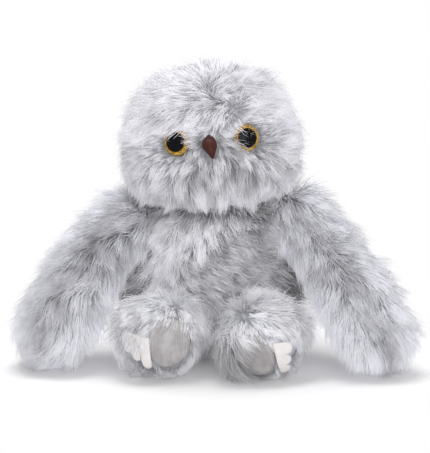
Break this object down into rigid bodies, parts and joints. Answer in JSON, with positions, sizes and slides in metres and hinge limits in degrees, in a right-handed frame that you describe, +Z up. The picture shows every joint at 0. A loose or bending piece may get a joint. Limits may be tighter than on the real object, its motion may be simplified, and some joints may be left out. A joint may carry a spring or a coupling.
{
  "type": "interactive plush toy",
  "caption": "Seated grey long-pile plush owl with stuffed wings and legs, felt talons, a turning head and a sound unit behind a back flap.",
  "frame": {"origin": "middle of the flat underside that the body sits on", "axes": "+Z up from the seat, the toy faces -Y, +X towards its own left wing"},
  "size_m": [0.3485, 0.1995, 0.2658],
  "materials": {
    "fur": "long grey plush pile, paler at its tips",
    "wadding": "white polyester fibre filling",
    "suede": "short-napped grey cloth",
    "felt": "pale grey-white felt",
    "eye": "clear glossy dome over an amber ring and a black pupil",
    "beak": "glossy dark reddish brown",
    "nylon": "off-white nylon",
    "tape": "grey hook-and-loop tape",
    "case": "fine-textured black ABS",
    "steel": "nickel-plated steel",
    "cell": "plain sleeved cell",
    "board": "green board lacquer",
    "black": "black",
    "key": "red ABS"
  },
  "bodies": {
    "torso": {"body_fur": "fur", "body_stuffing": "wadding", "pocket_pad": "wadding", "loop_tape_tab": "tape", "neck_disc_in_body": "nylon", "sound_unit_front_shell": "case", "sound_unit_back_shell": "case", "battery_door": "case", "housing_screw_1": "steel", "housing_screw_2": "steel", "housing_screw_3": "steel", "housing_screw_4": "steel", "lower_contact_strip": "steel", "upper_contact_strip": "steel", "battery_1": "cell", "battery_2": "cell", "battery_3": "cell", "battery_contact_coil_1": "steel", "battery_contact_coil_2": "steel", "battery_contact_coil_3": "steel", "battery_door_screw": "steel", "speaker_basket": "steel", "speaker_cone": "black", "circuit_board": "board", "sound_chip": "black", "tactile_switch": "black", "button_spring": "steel", "slide_switch": "steel"},
    "head": {"head_fur": "fur", "head_stuffing": "wadding", "left_eye": "eye", "right_eye": "eye", "left_eye_washer": "nylon", "right_eye_washer": "nylon", "beak": "beak", "beak_washer": "nylon", "neck_disc_and_post": "nylon", "neck_lock_washer": "nylon"},
    "left_wing": {"left_wing_fur": "fur", "left_wing_stuffing": "wadding"},
    "right_wing": {"right_wing_fur": "fur", "right_wing_stuffing": "wadding"},
    "left_leg": {"left_leg_fur": "fur", "left_leg_stuffing": "wadding", "left_sole_patch": "suede", "left_talons": "felt"},
    "right_leg": {"right_leg_fur": "fur", "right_leg_stuffing": "wadding", "right_sole_patch": "suede", "right_talons": "felt"},
    "flap": {"back_flap": "fur", "flap_hook_tape": "tape"},
    "button": {"press_button": "key"},
    "slider": {"power_slider": "key"}
  },
  "joints": [
    {"name": "neck_turn", "type": "hinge", "parent": "torso", "child": "head", "pos_m": [0, -0.006, 0.138], "axis": [-0.0576, 0, 0.9983], "range_deg": [-90, 90]},
    {"name": "left_shoulder", "type": "hinge", "parent": "torso", "child": "left_wing", "pos_m": [0.077, 0.004, 0.122], "axis": [0, -1, 0], "range_deg": [0, 75]},
    {"name": "right_shoulder", "type": "hinge", "parent": "torso", "child": "right_wing", "pos_m": [-0.08, 0.004, 0.118], "axis": [0, 1, 0], "range_deg": [0, 75]},
    {"name": "left_hip", "type": "hinge", "parent": "torso", "child": "left_leg", "pos_m": [0.038, -0.064, 0.04], "axis": [-1, 0, 0], "range_deg": [-30, 50]},
    {"name": "right_hip", "type": "hinge", "parent": "torso", "child": "right_leg", "pos_m": [-0.038, -0.064, 0.04], "axis": [-1, 0, 0], "range_deg": [-30, 50]},
    {"name": "back_flap_hinge", "type": "hinge", "parent": "torso", "child": "flap", "pos_m": [0, 0.04276, 0.1079], "axis": [1, 0, 0], "range_deg": [0, 60]},
    {"name": "button_press", "type": "slide", "parent": "torso", "child": "button", "axis": [0, 1, 0], "range_m": [0, 0.0025], "stiffness_N_per_m": 400, "deforming": ["button_spring"]},
    {"name": "power_slide", "type": "slide", "parent": "torso", "child": "slider", "axis": [1, 0, 0], "range_m": [0, 0.004]}
  ]
}
